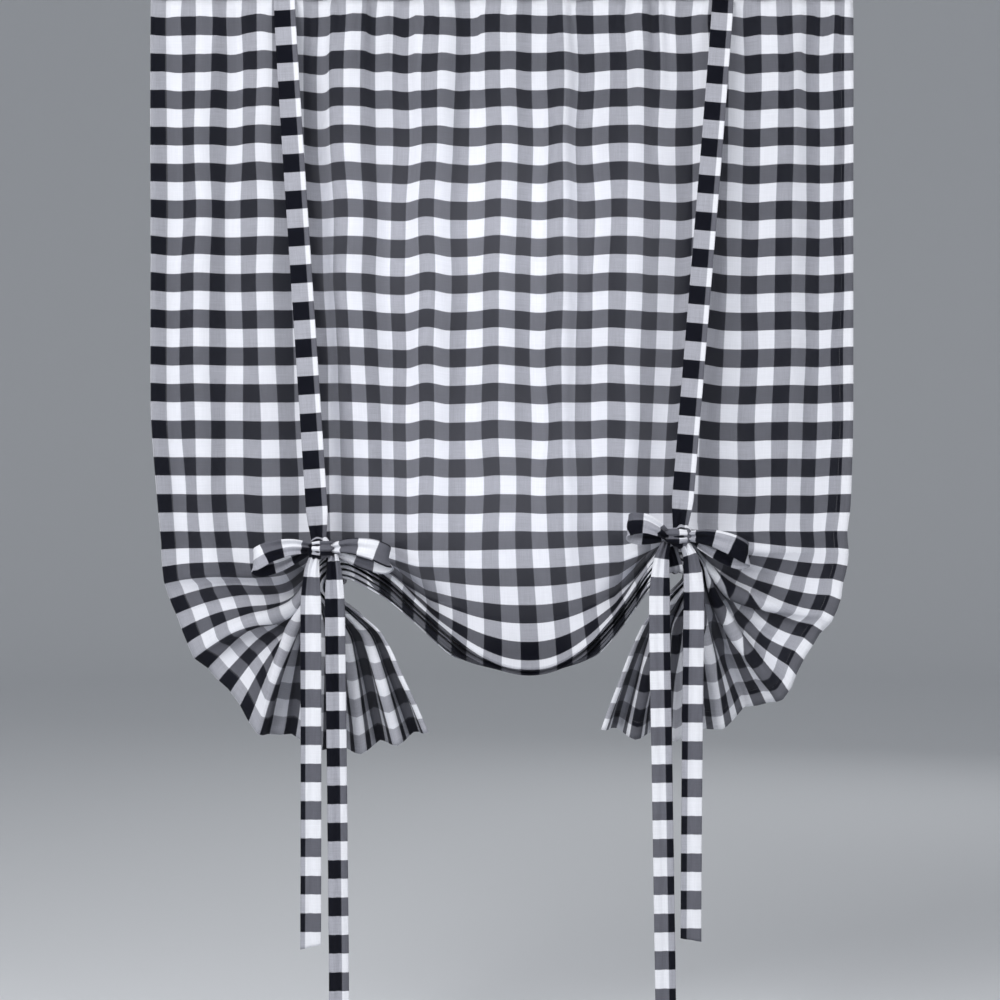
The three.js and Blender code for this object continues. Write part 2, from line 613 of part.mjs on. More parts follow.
// The rod pocket: a flattened tube of cloth, gathered, open at both ends.
const POCKET_DEPTH = 28;
const POCKET_PUFF = 1.5; // small gathers between the flutes
const GATHER_PITCH = 69; // flat cloth from one small gather to the next
const POCKET_COLUMNS = 44;
const POCKET_RING = 10;
function pocketGeometry() {
  const rings = { outer: [], inner: [] };
  for (let i = 0; i <= POCKET_COLUMNS; i += 1) {
    const u = (i / POCKET_COLUMNS) * FLAT_WIDTH;
    const seamY = flute(u) * fluteStrength(0);
    const x = hangingX(u, 0);
    for (const [key, inset] of [['outer', 0], ['inner', CLOTH]]) {
      rings[key].push(Array.from({ length: POCKET_RING }, (_, k) => {
        const angle = (2 * Math.PI * k) / POCKET_RING;
        const halfHigh = (POCKET_HEIGHT - SEAT_GAP) / 2;
        const puff = POCKET_DEPTH / 2 + POCKET_PUFF * Math.sin((2 * Math.PI * u) / GATHER_PITCH);
        const y = seamY * (1 - Math.cos(angle)) * 0.5 + (puff - inset) * Math.sin(angle);
        return new THREE.Vector3(x, y, -halfHigh + (halfHigh - inset) * Math.cos(angle));
      }));
    }
  }
  const positions = [...rings.outer.flat(), ...rings.inner.flat()];
  const inner = rings.outer.length * POCKET_RING;
  const faces = [];
  const quad = (a, b, c, d) => faces.push([a, b, c], [a, c, d]);
  for (let i = 0; i < POCKET_COLUMNS; i += 1) {
    for (let k = 0; k < POCKET_RING; k += 1) {
      const a = i * POCKET_RING + k;
      const b = i * POCKET_RING + ((k + 1) % POCKET_RING);
      quad(a, a + POCKET_RING, b + POCKET_RING, b);
      quad(inner + a, inner + b, inner + b + POCKET_RING, inner + a + POCKET_RING);
    }
  }
  for (const [start, flip] of [[0, false], [POCKET_COLUMNS * POCKET_RING, true]]) {
    for (let k = 0; k < POCKET_RING; k += 1) {
      const a = start + k;
      const b = start + ((k + 1) % POCKET_RING);
      if (flip) quad(a, inner + a, inner + b, b);
      else quad(a, b, inner + b, inner + a);
    }
  }
  return solidFrom(positions, faces);
}

const group = new THREE.Group();
group.add(makeMesh('rod_pocket', pocketGeometry(), colours.cloth));
group.add(makeMesh('valance_panel', panelGeometry(), colours.cloth));
for (const name of Object.keys(SIDES)) {
  group.add(makeMesh(`tie_front_${name}`, frontTie(name), colours.ties));
  group.add(makeMesh(`tie_back_${name}`, backTie(name), colours.ties));
}

export default group;
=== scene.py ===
import math

import bpy
import numpy as np
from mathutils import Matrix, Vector


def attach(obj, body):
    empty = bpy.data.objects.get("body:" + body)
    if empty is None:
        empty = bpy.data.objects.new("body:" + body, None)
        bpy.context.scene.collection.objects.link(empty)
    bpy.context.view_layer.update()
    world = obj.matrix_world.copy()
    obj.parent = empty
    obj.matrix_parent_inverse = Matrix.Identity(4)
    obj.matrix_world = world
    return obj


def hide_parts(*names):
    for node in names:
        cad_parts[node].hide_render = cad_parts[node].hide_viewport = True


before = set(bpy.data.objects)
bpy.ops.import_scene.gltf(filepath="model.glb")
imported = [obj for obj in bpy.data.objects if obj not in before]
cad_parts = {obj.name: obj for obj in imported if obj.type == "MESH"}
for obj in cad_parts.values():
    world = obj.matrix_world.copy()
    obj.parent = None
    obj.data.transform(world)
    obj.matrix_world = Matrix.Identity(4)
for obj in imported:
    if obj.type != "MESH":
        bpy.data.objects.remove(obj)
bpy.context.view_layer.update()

# The rod pocket and the panel are one width of gingham, 1.09 m by 1.6 m before it was gathered and tied.
# This section is the panel as it hangs from the pocket's seam: soft flutes, then the lower half caught up
# in thirteen folds at two ties, a swag between them and a fan outside each. Lengths here are millimetres.
FLAT_WIDTH = 1090
POCKET_HEIGHT = 45
LAYER_PITCH = 3.5  # from one caught-up layer to the next inside a tie
ARCH_RADIUS = 12  # of the last layer's arch over a tie
SWAG_FOLD = 3  # the fold that is the lower edge of the swag's face
FRONT_EDGE_DOWN = 853  # that edge's lowest place, below the seam
SWAG_SKEW = 1.233  # moves it to the right
SWAG_POINTEDNESS = 1.3
SWAG_SHOULDER = 0.016  # share of the swag's span beside each tie that does not fall
BUNDLE_TURN = math.radians(78)  # the layers behind the face roll back by this
SOFT_TURN = 7  # radius of a fold's turn
# Where each tie leaves the seam and catches the cloth, where its folds start and how wide its fan opens.
SIDES = {
    "left": dict(out=-1, seam_x=-277, tie_u=258, tie_x=-209, knot_x=-229, knot_z=-742,
                 start=690, fan=121, spread=37),
    "right": dict(out=1, seam_x=281, tie_u=838, tie_x=219, knot_x=223, knot_z=-727,
                  start=676, fan=115, spread=26),
}
# Flat cloth from one fold's edge to the next, and how far each edge reaches out of its fan.
FOLDS = {
    "left": [38, 64, 61, 72, 71, 67, 68, 73, 72, 69, 70, 72, 68],
    "right": [38, 70, 69, 68, 70, 74, 72, 68, 67, 73, 74, 69, 67],
    "left reach": [1, 1, 0.98, 1, 0.97, 1.01, 0.96, 1.02, 1, 1.03, 0.97, 1.01, 0.97, 0.99],
    "right reach": [1, 1, 0.97, 1.01, 0.98, 1, 0.94, 1, 0.98, 1.02, 0.97, 1.01, 0.98, 1],
}
FOLD_COUNT = len(FOLDS["left"])
# Out in a fan the edges of its folds fall on other threads, and the folds lie flatter, the front ones most.
OUTER_SPAN = 30, 190  # from the tie
FRONT_FOLDS, FLATTER_IN_FRONT, FLATTER_BEHIND = 5, 0.55, 0.35
OUTER_FOLDS = {
    "left": [690, 745, 800, 865, 930, 1005, 1068, 1135, 1204, 1276, 1345, 1415, 1487, 1555],
    "right": [676, 706, 750, 803, 862, 928, 1002, 1080, 1158, 1237, 1316, 1396, 1476, 1555],
}
# In the middle of the swag the folds behind its face fall on other threads, and lie unevenly on each other.
MIDDLE_FOLDS = [684, 722, 788, 853, 912, 973, 1042, 1112, 1182, 1253, 1323, 1393, 1481, 1555]
BUNDLE_LAYERS = [0, 1.1, 2.2, 8.6, 9.7, 10.8, 17.8, 18.9, 20.0, 27.2, 28.3]


def smooth(x, low, high):
    t = np.clip((x - low) / (high - low), 0, 1)
    return t * t * (3 - 2 * t)


def mix(a, b, t):
    return a + (b - a) * t


def through(x, y):
    """A smooth curve through the points that never overshoots them."""
    x, y = np.array(x, float), np.array(y, float)
    rise = np.diff(y) / np.diff(x)
    slope = np.r_[rise[0], np.zeros(len(x) - 2), rise[-1]]
    same = rise[:-1] * rise[1:] > 0
    slope[1:-1][same] = (2 * rise[:-1] * rise[1:] / np.where(same, rise[:-1] + rise[1:], 1))[same]

    def curve(at):
        p = np.clip(at, x[0], x[-1])
        i = np.clip(np.searchsorted(x, p, side="left") - 1, 0, len(x) - 2)
        step = x[i + 1] - x[i]
        t = (p - x[i]) / step
        near = (1 + 2 * t) * (1 - t) ** 2 * y[i] + t * (1 - t) ** 2 * step * slope[i]
        return near + t * t * (3 - 2 * t) * y[i + 1] + t * t * (t - 1) * step * slope[i + 1]

    return curve


FAN_SWING = {
    "left": through([0, 150, 330, 470, 660, 880], [0, 0.28, 0.62, 0.76, 0.88, 1]),
    "right": through([0, 83, 150, 207, 257, 330, 470, 660, 880], [0, 0.16, 0.31, 0.434, 0.53, 0.63, 0.76, 0.88, 1]),
}
FAN_REACH = {
    "left": through([0, 45, 60, 74, 95, 122], [0.87, 0.875, 0.9, 1, 0.98, 0.89]),
    "right": through([0, 19, 34, 50, 58, 74, 95, 122], [0.87, 0.91, 0.875, 0.92, 0.975, 0.985, 0.98, 0.89]),
}
# A fan hangs down from its tie before it runs outwards: how far, by flat length down and then by the share out.
FAN_DROOP = {
    "left": through([0, 55, 100, 175, 250, 350, 450], [0, 25, 34, 44, 32, 12, 0]),
    "right": through([0, 55, 121, 180, 250, 350, 450], [0, 12, 22, 25, 18, 8, 0]),
}
DROOP_SHARE = {
    "left": through([0, 8, 40, 75, 108, 150, 200, 245], [0, 0, 0.6, 0.95, 0.8, 0.42, 0.12, 0]),
    "right": through([0, 8, 50, 100, 150, 200, 235], [0, 0, 0.6, 1, 0.9, 0.5, 0]),
}
pleat_spread = through([0, 32, 64, 230], [0, 0.6, 1, 0.55])
left_edge = through([0, 510, 640, 690], [-447, -447, -439, -434])
right_edge = through([0, 510, 640, 690], [447, 447, 444, 438])
flute_strength = through([0, 90, 300, 560, 700, 850], [0.35, 0.9, 1, 0.75, 0.45, 0])
# How far the threads have slipped sideways along the swag's edge.
swag_slip = through([0, 0.2, 0.4, 0.56, 0.73, 1], [0, -0.028, -0.043, -0.027, -0.018, 0])
flute = through(
    [0, 36, 82, 128, 190, 236, 262, 306, 330, 388, 448, 500, 552, 604, 640, 680, 736, 780, 822, 872, 920, 968,
     1024, 1090],
    [-4, 8, -9, 6, -9, 4, 13, -8, -5, 14, -11, 6, -8, 5, -9, 12, -10, 3, 12, -9, 6, -9, 12, -5],
)

for name, side in SIDES.items():
    side["folds"] = side["start"] + np.r_[0, np.cumsum(FOLDS[name])]
    side["top"] = -POCKET_HEIGHT - side["start"]
    side["stack"] = FOLD_COUNT * LAYER_PITCH
    side["arch_z"] = side["top"] - side["stack"] - ARCH_RADIUS
    side["reach"] = np.array(FOLDS[name + " reach"])
    side["name"] = name
left, right = SIDES["left"], SIDES["right"]
swag_span = right["tie_x"] - left["tie_x"]

# Flutes take up flat cloth: share of the hanging width reached at each flat place.
flute_u = np.linspace(0, FLAT_WIDTH, 546)
flute_run = np.sqrt(np.maximum(0.2, 1 - (np.diff(flute(flute_u)) / np.diff(flute_u)) ** 2))
flute_run = np.r_[0, np.cumsum(flute_run)] / flute_run.sum()


def reach_at(u):
    """A thread's place across the hanging cloth, from 0 to 1."""
    return np.interp(u, flute_u, flute_run)


def hanging_x(u, v):
    """Where a thread hangs above the folds: the ties draw it sideways the further down it is."""
    low, high = left_edge(v), right_edge(v)
    stops = np.array([0, left["tie_u"], right["tie_u"], FLAT_WIDTH])
    pulled = np.interp(reach_at(u), reach_at(stops), [low, left["tie_x"], right["tie_x"], high])
    return mix(mix(low, high, reach_at(u)), pulled, smooth(v, 0, left["start"]))


def swag_curve(s):
    """The swag's depth along its span: 0 at the ties, 1 at its lowest point."""
    skewed = np.clip((s - SWAG_SHOULDER) / (1 - 2 * SWAG_SHOULDER), 0, 1) ** SWAG_SKEW
    return (4 * skewed * (1 - skewed)) ** SWAG_POINTEDNESS


def swag_fall(s):
    """How far the edge of the swag's face hangs below the straight line between the ties."""
    stack = SWAG_FOLD * LAYER_PITCH
    return (FRONT_EDGE_DOWN - mix(left["start"], right["start"], s) - stack) * swag_curve(s)


edge_s = np.linspace(0, 1, 201)
edge_run = np.r_[0, np.cumsum(np.hypot(np.diff(edge_s) * swag_span, np.diff(swag_fall(edge_s))))]
edge_run /= edge_run[-1]


def layers_at(folds, v):
    """How many folds down a place lies, with its share of the next."""
    i = int(np.clip(np.searchsorted(folds, v, side="left") - 1, 0, FOLD_COUNT - 1))
    return i + (v - folds[i]) / (folds[i + 1] - folds[i])


def fan_middle(side, u, v, folds):
    """Outside a tie the weft arches over it, runs straight out and swings round like a fan."""
    length = abs(u - side["tie_u"])
    layers = layers_at(folds, v)
    swing_degrees = side["fan"] * FAN_SWING[side["name"]](v - side["start"])
    swing = math.radians(swing_degrees)
    radius = ARCH_RADIUS + side["stack"] - layers * LAYER_PITCH
    turned = min(length / radius, swing)
    uneven = np.interp(layers, np.arange(FOLD_COUNT + 1), side["reach"])
    straight = (length - turned * radius) * FAN_REACH[side["name"]](swing_degrees) * uneven
    inward = side["spread"] * smooth(swing_degrees, 72, side["fan"]) * pleat_spread(straight)
    outward = radius * math.sin(turned) + straight * math.cos(swing) - inward
    down = radius * (1 - math.cos(turned)) + straight * math.sin(swing)
    down += FAN_DROOP[side["name"]](v - side["start"]) * DROOP_SHARE[side["name"]](length)
    point = np.array([side["tie_x"] + side["out"] * outward, side["top"] - layers * LAYER_PITCH - down])
    return point, 0.0, 0.0, 1.0


def swag_middle(u, v, folds):
    """Between the ties the front face is drawn down to the swag's edge and hangs level above it."""
    t = (u - left["tie_u"]) / (right["tie_u"] - left["tie_u"])
    g = np.clip((v - folds[0]) / (folds[SWAG_FOLD] - folds[0]), 0, 1)
    edge = np.interp(t, edge_run, edge_s) + swag_slip(t)
    s = mix((hanging_x(u, folds[0]) - left["tie_x"]) / swag_span, edge, g)
    fullness = np.clip(swag_curve(s), 1e-3, 1)
    bend = min(0.6, 0.8 * (1 / fullness - 1))
    drop = swag_fall(s) * (g + bend * (g - g * g))
    layers = layers_at(folds, v)
    z = mix(left["top"], right["top"], s) - min(layers, SWAG_FOLD) * LAYER_PITCH - drop
    lean = BUNDLE_TURN * smooth(swag_curve(s), 0.64, 1)
    behind = np.interp(layers - SWAG_FOLD, np.arange(len(BUNDLE_LAYERS)), BUNDLE_LAYERS)
    behind = mix(max(0, layers - SWAG_FOLD) * LAYER_PITCH, behind, smooth(fullness, 0.05, 0.3))
    return np.array([left["tie_x"] + s * swag_span, z]), lean, behind, fullness


def fold_shape(length, chord, ease):
    """One layer between two fold edges: a round turn, a straight run and a round turn back."""
    slack = np.clip(chord / length, 0.02, 0.998)
    share = slack + (1 - slack) * 0.97 * ease
    turn = min(SOFT_TURN, 0.49 * share * length)
    low, high = 0, math.pi / 2
    for _ in range(40):
        angle = (low + high) / 2
        reach = (length - 2 * angle * turn) * math.cos(angle) + 2 * turn * math.sin(angle)
        low, high = (angle, high) if reach > share * length else (low, angle)
    depth = (length - 2 * angle * turn) * math.sin(angle) + 2 * turn * (1 - math.cos(angle))
    return dict(length=length, share=share, turn=turn, angle=angle, depth=depth)


def fold_point(fold, s):
    """How far along and how deep a place on that layer is, by the way to it along the cloth."""
    turn, angle, length = fold["turn"], fold["angle"], fold["length"]
    arc = angle * turn
    if s > length / 2:
        along, deep = fold_point(fold, length - s)
        return fold["share"] * length - along, fold["depth"] - deep
    if s <= arc:
        return turn * math.sin(s / turn), turn * (1 - math.cos(s / turn))
    straight = s - arc
    return (turn * math.sin(angle) + straight * math.cos(angle),
            turn * (1 - math.cos(angle)) + straight * math.sin(angle))


HANGING_ROWS = 66
FOLD_STEPS = [1 / 3, 2 / 3, 1]  # of the turn, then the straight run, then the turn again
SHORTEST_TURN = 2.5


def warp_thread(u):
    """One thread of the panel from seam to hem: rows of x, y, z and flat length down."""
    t = np.clip((u - left["tie_u"]) / (right["tie_u"] - left["tie_u"]), 0, 1)
    folds = mix(left["folds"], right["folds"], t)
    folds = mix(folds, np.array(MIDDLE_FOLDS), smooth(t, 0, 0.22) * (1 - smooth(t, 0.78, 1)))
    in_swag = left["tie_u"] < u < right["tie_u"]
    side = left if u <= left["tie_u"] else right
    out_of_tie = 0 if in_swag else abs(u - side["tie_u"])
    folds = mix(folds, np.array(OUTER_FOLDS[side["name"]]), smooth(out_of_tie, *OUTER_SPAN))
    flatter = smooth(out_of_tie, 25, 140)

    def middle(v):
        return swag_middle(u, v, folds) if in_swag else fan_middle(side, u, v, folds)

    rows = []
    for v in np.linspace(0, folds[0], HANGING_ROWS):
        rows.append((hanging_x(u, v), flute(u) * flute_strength(v), -POCKET_HEIGHT - v, v))
    y, edge_y = 0.0, 0.0
    for j in range(FOLD_COUNT):
        (a, _, a_behind, full), (b, _, b_behind, _) = middle(folds[j]), middle(folds[j + 1])
        length = folds[j + 1] - folds[j]
        chord = np.linalg.norm(b - a) + b_behind - a_behind
        ease = smooth(chord / length, 0.5, 0.9)
        if in_swag:
            ease = smooth(full, 0.35, 0.85) if j < SWAG_FOLD else 0
        fold = fold_shape(length, chord, ease)
        less = FLATTER_IN_FRONT if j < FRONT_FOLDS else FLATTER_BEHIND
        towards = (-1 if j % 2 == 0 else 1) * (1 - less * flatter)
        if j == SWAG_FOLD:
            edge_y = y
        arc = max(SHORTEST_TURN, fold["angle"] * fold["turn"])
        run = length - 2 * arc
        steps = [arc * k for k in FOLD_STEPS] + [arc + run * k for k in FOLD_STEPS]
        steps += [length - arc + arc * k for k in FOLD_STEPS]
        for s in steps:
            s -= 1e-6
            along, deep = fold_point(fold, s)
            point, lean, behind, _ = middle(folds[j] + along / fold["share"])
            here = y + towards * deep
            v = folds[j] + s
            sway = flute(u) * flute_strength(v)
            if v < folds[SWAG_FOLD] - 1:
                rows.append((point[0], here + sway, point[1], v))
                continue
            back, under = here - edge_y, behind + LAYER_PITCH / 2 * math.sin(lean)
            back_y = back * math.cos(lean) + under * math.sin(lean)
            back_z = back * math.sin(lean) - under * math.cos(lean) if in_swag else 0
            rows.append((point[0], edge_y + sway + back_y, point[1] + back_z, v))
        y += towards * fold["depth"]
    return rows


SIDE_COLUMNS, SWAG_COLUMNS = 40, 104
outwards = (np.arange(SIDE_COLUMNS, 0, -1) / SIDE_COLUMNS) ** 1.4
from_middle = np.linspace(-1, 1, SWAG_COLUMNS + 1)
from_middle = np.sign(from_middle) * (1 - (1 - abs(from_middle)) ** 1.3)
columns = np.r_[
    left["tie_u"] * (1 - outwards),
    mix(left["tie_u"], right["tie_u"], 0.5 + from_middle / 2),
    mix(right["tie_u"], FLAT_WIDTH, outwards[::-1]),
]
panel = np.array([warp_thread(u) for u in columns]).transpose(1, 0, 2)
panel_v = panel[:, :, 3]
panel_u = np.broadcast_to(columns, panel_v.shape)
panel = panel[:, :, :3].copy()

# The hanging part runs into the first fold without a corner.
EVEN_STEP, BELL_REACH, BELL_WIDE = 2.0, 25, 9
even_v = np.arange(600, 800, EVEN_STEP)
bell = np.exp(-(np.arange(1 - BELL_REACH, BELL_REACH, EVEN_STEP) / BELL_WIDE) ** 2)
bell /= bell.sum()
for j in range(len(columns)):
    share = smooth(panel_v[:, j], 640, 662) * (1 - smooth(panel_v[:, j], 702, 714))
    for k in range(3):
        line = np.convolve(np.interp(even_v, panel_v[:, j], panel[:, j, k]), bell, mode="same")
        panel[:, j, k] = mix(panel[:, j, k], np.interp(panel_v[:, j], even_v, line), share)

# Gathers and the ties draw the threads a little sideways: flat place, then the shift at three depths.
# The two side edges stay where they are.
EDGE_CALM = 40
edge_free = smooth(panel_u, 0, EDGE_CALM) * (1 - smooth(panel_u, FLAT_WIDTH - EDGE_CALM, FLAT_WIDTH))
PULL_DEPTHS = [32, 362, 645]
PULL = {
    12: [-1, -1, -3], 107: [-1, -8, -16], 203: [-5, -11, -12], 346: [-7, -16, -16], 441: [-5, -18, -24],
    537: [-5, -9, -11], 632: [-8, -5, -1], 727: [0, 8, 11], 823: [5, 16, 8], 918: [15, 20, 22],
    1014: [15, 19, 18], 1061: [10, 9, 6],
}
at_depth = [np.interp(columns, list(PULL), [row[k] for row in PULL.values()]) for k in range(3)]
share = np.clip((panel_v - PULL_DEPTHS[0]) / (PULL_DEPTHS[1] - PULL_DEPTHS[0]), 0, 1)
pull = mix(at_depth[0], at_depth[1], share)
share = np.clip((panel_v - PULL_DEPTHS[1]) / (PULL_DEPTHS[2] - PULL_DEPTHS[1]), 0, 1)
pull = mix(pull, at_depth[2], share) * (1 - smooth(panel_v, 670, 850))
panel[:, :, 0] += pull * edge_free


def crumple(u, v, wide, long, seed):
    """Soft uneven swelling of a cloth, from -1 to 1, with bumps of that width and length."""
    heights = np.random.default_rng(seed).uniform(-1, 1, (96, 96))
    x, y = u / wide + 3, v / long + 3
    i, j = np.floor(x).astype(int) % 95, np.floor(y).astype(int) % 95
    s, t = smooth(x % 1, 0, 1), smooth(y % 1, 0, 1)
    return mix(mix(heights[i, j], heights[i + 1, j], s), mix(heights[i, j + 1], heights[i + 1, j + 1], s), t)


def bisector(before, here, after):
    """The direction along a thread, halfway between its way in and its way on."""
    def unit(step):
        return step / np.maximum(np.linalg.norm(step, axis=-1, keepdims=True), 1e-9)
    return unit(here - before) + unit(after - here)


def faces_out(grid):
    """The sheet's own direction at each point, across its two threads."""
    down = bisector(np.concatenate([grid[:1], grid[:-1]]), grid, np.concatenate([grid[1:], grid[-1:]]))
    left_of = np.concatenate([grid[:, :1], grid[:, :-1]], axis=1)
    right_of = np.concatenate([grid[:, 1:], grid[:, -1:]], axis=1)
    normal = np.cross(bisector(left_of, grid, right_of), down)
    return normal / np.maximum(np.linalg.norm(normal, axis=-1, keepdims=True), 1e-9)


def thin_sheet(grid, thickness):
    """Corners and faces of a closed thin sheet over a grid of points, back side first."""
    rise = faces_out(grid) * np.asarray(thickness)[..., None] / 2
    rows, across = grid.shape[:2]
    corners = np.concatenate([(grid + rise).reshape(-1, 3), (grid - rise).reshape(-1, 3)])
    index = np.arange(rows * across).reshape(rows, across)
    under = index + rows * across
    a, b, c, d = index[:-1, :-1], index[:-1, 1:], index[1:, 1:], index[1:, :-1]
    e, f, g, h = under[:-1, :-1], under[:-1, 1:], under[1:, 1:], under[1:, :-1]
    parts = [[a, b, c, d], [e, h, g, f]]
    parts += [[index[:-1, 0], index[1:, 0], under[1:, 0], under[:-1, 0]]]
    parts += [[under[:-1, -1], under[1:, -1], index[1:, -1], index[:-1, -1]]]
    parts += [[index[0, 1:], index[0, :-1], under[0, :-1], under[0, 1:]]]
    parts += [[index[-1, :-1], index[-1, 1:], under[-1, 1:], under[-1, :-1]]]
    return corners, np.concatenate([np.stack(p, -1).reshape(-1, 4) for p in parts])


def cloth_object(name, sheets):
    """One object of several thin sheets, each a grid of points, its thickness and its flat threads in mm."""
    corners, faces, flats, start = [], [], [], 0
    for grid, thickness, u, v in sheets:
        points, quads = thin_sheet(grid, thickness)
        corners.append(points)
        faces.append(quads + start)
        flat = np.stack([u, v], -1).reshape(-1, 2)
        flats += [flat, flat]
        start += len(points)
    mesh = bpy.data.meshes.new(name)
    mesh.from_pydata((np.concatenate(corners) / 1000).tolist(), [], np.concatenate(faces).tolist())
    mesh.shade_smooth()
    threads = mesh.uv_layers.new(name="threads")
    order = np.concatenate(faces).ravel()
    threads.data.foreach_set("uv", (np.concatenate(flats)[order] / 1000).ravel())
    piece = bpy.data.objects.new(name, mesh)
    bpy.context.collection.objects.link(piece)
    return piece


# Threads wander a little in the cloth. Small gathers run down from the seam and fade, and the cloth is soft
# and a little creased all over.
wander = smooth(panel_v, 0, 30) * (1 - 0.8 * smooth(panel_v, 600, 720))
panel[:, :, 2] += 2.6 * crumple(panel_u, panel_v, 34, 420, 13) * wander
panel[:, :, 0] += 2.6 * crumple(panel_u, panel_v, 44, 90, 17) * wander * edge_free
panel[:, :, 2] += 4.2 * crumple(panel_u, panel_v, 21, 110, 29) * np.exp(-panel_v / 150) * smooth(panel_v, 5, 30)
GATHER_DEPTH, GATHER_FADE = 6.0, 80
at_tie = np.maximum(*[1 - smooth(abs(panel[:, :, 0] - side["seam_x"]), 18, 30) for side in (left, right)])
clear_of_tie = 1 - at_tie * (1 - smooth(panel_v, 60, 140))
gathers = crumple(panel_u, panel_v, 10, 400, 3) * np.exp(-panel_v / GATHER_FADE)
gathers *= smooth(panel_v, 0, 12) * GATHER_DEPTH
soft = 1.5 * crumple(panel_u, panel_v, 46, 160, 5) + 0.5 * crumple(panel_u, panel_v, 19, 33, 7)
soft *= mix(1, 0.3, smooth(panel_v, 640, 720)) * smooth(panel_v, 0, 60)
# In the fans the edge of a front fold hangs over the cloth under it: which fold, and how much.
OVERHANG = {"left": {1: 1, 3: 1.5, 5: 1.2}, "right": {1: 0.25, 3: 1.5, 5: 1.2}}
for name, side in SIDES.items():
    out_of_tie = np.maximum(0, side["out"] * (panel_u - side["tie_u"]))
    for fold, share in OVERHANG[name].items():
        edge_v = mix(side["folds"][fold], OUTER_FOLDS[name][fold], smooth(out_of_tie, *OUTER_SPAN))
        past = panel_v - edge_v
        over = 4.5 * np.exp(-((past + 5) / 15) ** 2) - 7 * np.exp(-((past - 20) / 10) ** 2)
        soft -= over * share * smooth(out_of_tie, 30, 110)
panel += faces_out(panel) * ((gathers + soft) * clear_of_tie)[..., None]

# The side and bottom hems are turned in and so are thicker.
CLOTH, HEM_MORE = 0.7, 0.5
HEM, HEM_STEP = 25, 4
PANEL_DROP = 1555
right_hem, foot_hem = FLAT_WIDTH - HEM, PANEL_DROP - HEM
hem = 1 - np.minimum(
    np.minimum(smooth(panel_u, HEM - HEM_STEP, HEM), 1 - smooth(panel_u, right_hem, right_hem + HEM_STEP)),
    1 - smooth(panel_v, foot_hem, foot_hem + HEM_STEP))
valance = cloth_object("valance_cloth", [(panel, CLOTH + HEM_MORE * hem, panel_u, panel_v)])


class Socket:
    """An output of a shader node. Sums and products of it add their own nodes to the same material."""

    def __init__(self, tree, output):
        self.tree, self.output = tree, output

    @staticmethod
    def node(tree, kind, settings, inputs, output=0):
        made = tree.nodes.new("ShaderNode" + kind)
        for key, value in settings.items():
            if key == "stops":
                ramp = made.color_ramp.elements
                while len(ramp) < len(value):
                    ramp.new(0.5)
                for stop, (place, colour) in zip(ramp, value):
                    stop.position, stop.color = place, colour
            else:
                setattr(made, key, value)
        for key, value in inputs.items():
            if isinstance(value, Socket):
                tree.links.new(value.output, made.inputs[key])
            else:
                made.inputs[key].default_value = value
        return Socket(tree, made.outputs[output] if made.outputs else None)

    def maths(self, operation, *others, clamp=False):
        values = dict(enumerate([self, *others]))
        return Socket.node(self.tree, "Math", {"operation": operation, "use_clamp": clamp}, values)

    def __add__(self, other):
        return self.maths("ADD", other)

    def __sub__(self, other):
        return self.maths("SUBTRACT", other)

    def __rsub__(self, other):
        return Socket.node(self.tree, "Math", {"operation": "SUBTRACT"}, {0: other, 1: self})

    def __mul__(self, other):
        return self.maths("MULTIPLY", other)

    def __truediv__(self, other):
        return self.maths("DIVIDE", other)

    __radd__ = __add__
    __rmul__ = __mul__

    def step(self, low, high):
        """0 below low, 1 above high and smooth between."""
        settings = {"interpolation_type": "SMOOTHSTEP"}
        values = {"Value": self, "From Min": low, "From Max": high}
        return Socket.node(self.tree, "MapRange", settings, values)

    def blend(self, one, two):
        """A colour from one to two, by this share."""
        settings = {"data_type": "RGBA"}
        return Socket.node(self.tree, "Mix", settings, {0: self, 6: one, 7: two}, output=2)


# The cloth is a plain-weave gingham: bands of black and of white yarn in both directions, so that a check
# is black, white, or grey where the two cross. Lengths in this material are metres.
CHECK_WIDE, CHECK_LONG = 0.0477, 0.04696
FIRST_COLUMN, FIRST_ROW = 0.25 * CHECK_WIDE, 0.0316
YARN = 0.00053
HEM_EDGE = 0.0006  # half the step where a hem begins
STITCH_IN, STITCH_LONG = 0.002, 0.0031
WHITE, BLACK = (0.81, 0.82, 0.865, 1), (0.004, 0.0045, 0.0085, 1)
WEFT_GREY, WARP_GREY = (0.112, 0.114, 0.132, 1), (0.355, 0.36, 0.4, 1)  # black weft on white, and the reverse
TIE_WEFT_GREY, TIE_WARP_GREY = (0.125, 0.127, 0.15, 1), (0.38, 0.385, 0.43, 1)


